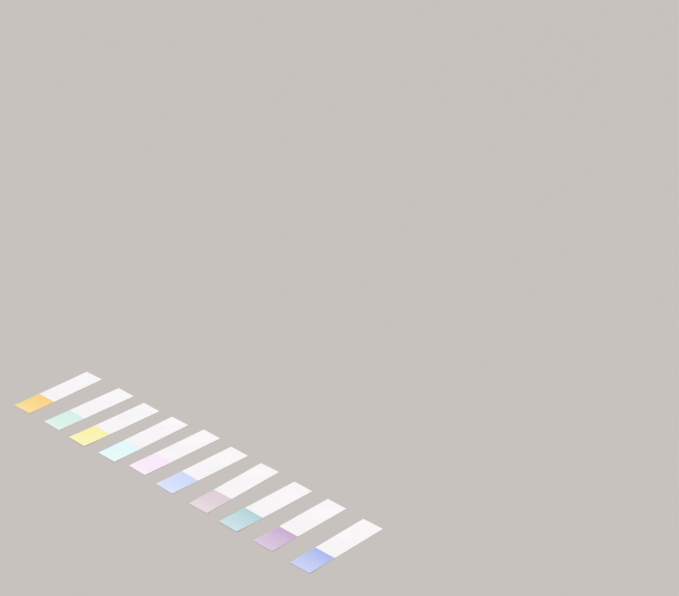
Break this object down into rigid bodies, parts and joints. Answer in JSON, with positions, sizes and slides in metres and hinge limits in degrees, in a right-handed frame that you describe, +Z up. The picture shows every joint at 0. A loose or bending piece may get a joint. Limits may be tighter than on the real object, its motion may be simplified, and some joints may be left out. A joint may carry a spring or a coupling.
{
  "type": "sticky index tabs",
  "caption": "Row of loose plastic film index tabs, each with a frosted glued strip to write on and a coloured free end that stands out past a page.",
  "frame": {"origin": "middle of the row's footprint, on the surface that the tabs lie on", "axes": "+X along the row from the orange tab to the blue one, +Y from the coloured ends towards the frosted ends, +Z up, away from the glued side"},
  "size_m": [0.197, 0.0478, 0.0003],
  "materials": {
    "orange_film": "satin",
    "mint_film": "satin",
    "yellow_film": "satin",
    "aqua_film": "satin",
    "pink_film": "satin",
    "periwinkle_film": "satin",
    "mauve_film": "satin",
    "teal_film": "satin",
    "lilac_film": "satin",
    "blue_film": "satin"
  },
  "bodies": {
    "root": {"tab_orange": "orange_film", "tab_mint": "mint_film", "tab_yellow": "yellow_film", "tab_aqua": "aqua_film", "tab_pink": "pink_film", "tab_periwinkle": "periwinkle_film", "tab_mauve": "mauve_film", "tab_teal": "teal_film", "tab_lilac": "lilac_film", "tab_blue": "blue_film"}
  },
  "joints": []
}
